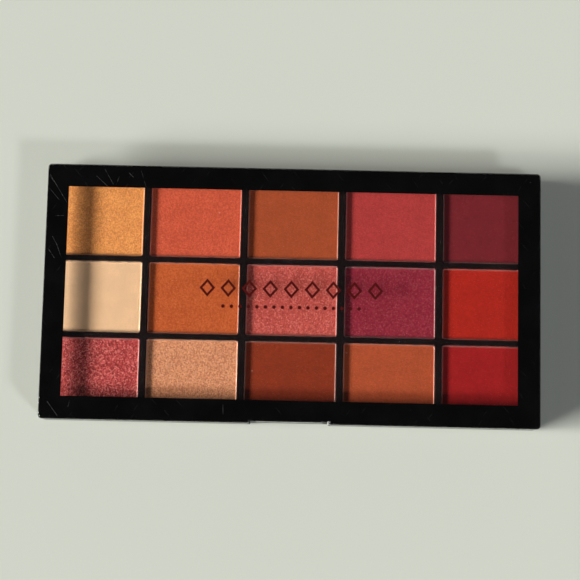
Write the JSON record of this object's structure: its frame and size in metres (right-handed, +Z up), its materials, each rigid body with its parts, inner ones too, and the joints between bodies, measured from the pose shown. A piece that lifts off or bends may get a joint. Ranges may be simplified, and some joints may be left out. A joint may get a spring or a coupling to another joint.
{
  "type": "eyeshadow palette",
  "caption": "Slim rectangular eyeshadow palette: black base with a grid of pressed powders in metal pans under a clear, black-bordered lid on two back hinges.",
  "frame": {"origin": "centre of the resting face", "axes": "+X to the right along the longest side, +Y to the back, where the hinges are, +Z up; the thumb notch faces -Y"},
  "size_m": [0.15, 0.0776, 0.0105],
  "materials": {
    "black_shell": "black moulded plastic, satin gloss",
    "black_tray": "black moulded plastic, satin",
    "adhesive": "hot-melt adhesive",
    "pan_metal": "stamped bare aluminium",
    "powder_01": "pressed powder, gold shimmer",
    "powder_02": "pressed powder, coral matte",
    "powder_03": "pressed powder, burnt orange-brown matte",
    "powder_04": "pressed powder, rose red matte",
    "powder_05": "pressed powder, burgundy matte",
    "powder_06": "pressed powder, cream matte",
    "powder_07": "pressed powder, orange matte",
    "powder_08": "pressed powder, pink shimmer",
    "powder_09": "pressed powder, magenta satin",
    "powder_10": "pressed powder, red matte",
    "powder_11": "pressed powder, cranberry glitter",
    "powder_12": "pressed powder, champagne peach shimmer",
    "powder_13": "pressed powder, brick brown matte",
    "powder_14": "pressed powder, terracotta matte",
    "powder_15": "pressed powder, deep red-pink matte",
    "pin_steel": "drawn steel wire",
    "clear_lid": "clear moulded polystyrene, polished",
    "black_print": "black screen print with fine scratches",
    "motif_print": "dark screen print"
  },
  "bodies": {
    "base": {"base_shell": "black_shell", "pan_tray": "black_tray", "adhesive_dots": "adhesive", "pan_01": "pan_metal", "pan_02": "pan_metal", "pan_03": "pan_metal", "pan_04": "pan_metal", "pan_05": "pan_metal", "pan_06": "pan_metal", "pan_07": "pan_metal", "pan_08": "pan_metal", "pan_09": "pan_metal", "pan_10": "pan_metal", "pan_11": "pan_metal", "pan_12": "pan_metal", "pan_13": "pan_metal", "pan_14": "pan_metal", "pan_15": "pan_metal", "shade_01": "powder_01", "shade_02": "powder_02", "shade_03": "powder_03", "shade_04": "powder_04", "shade_05": "powder_05", "shade_06": "powder_06", "shade_07": "powder_07", "shade_08": "powder_08", "shade_09": "powder_09", "shade_10": "powder_10", "shade_11": "powder_11", "shade_12": "powder_12", "shade_13": "powder_13", "shade_14": "powder_14", "shade_15": "powder_15", "hinge_pin_left": "pin_steel", "hinge_pin_right": "pin_steel"},
    "lid": {"lid_shell": "clear_lid", "border_print": "black_print", "window_motif": "motif_print"}
  },
  "joints": [
    {"name": "lid_hinge", "type": "hinge", "parent": "base", "child": "lid", "pos_m": [0, 0.0372, 0.0075], "axis": [-1, 0, 0], "range_deg": [0, 180]}
  ]
}
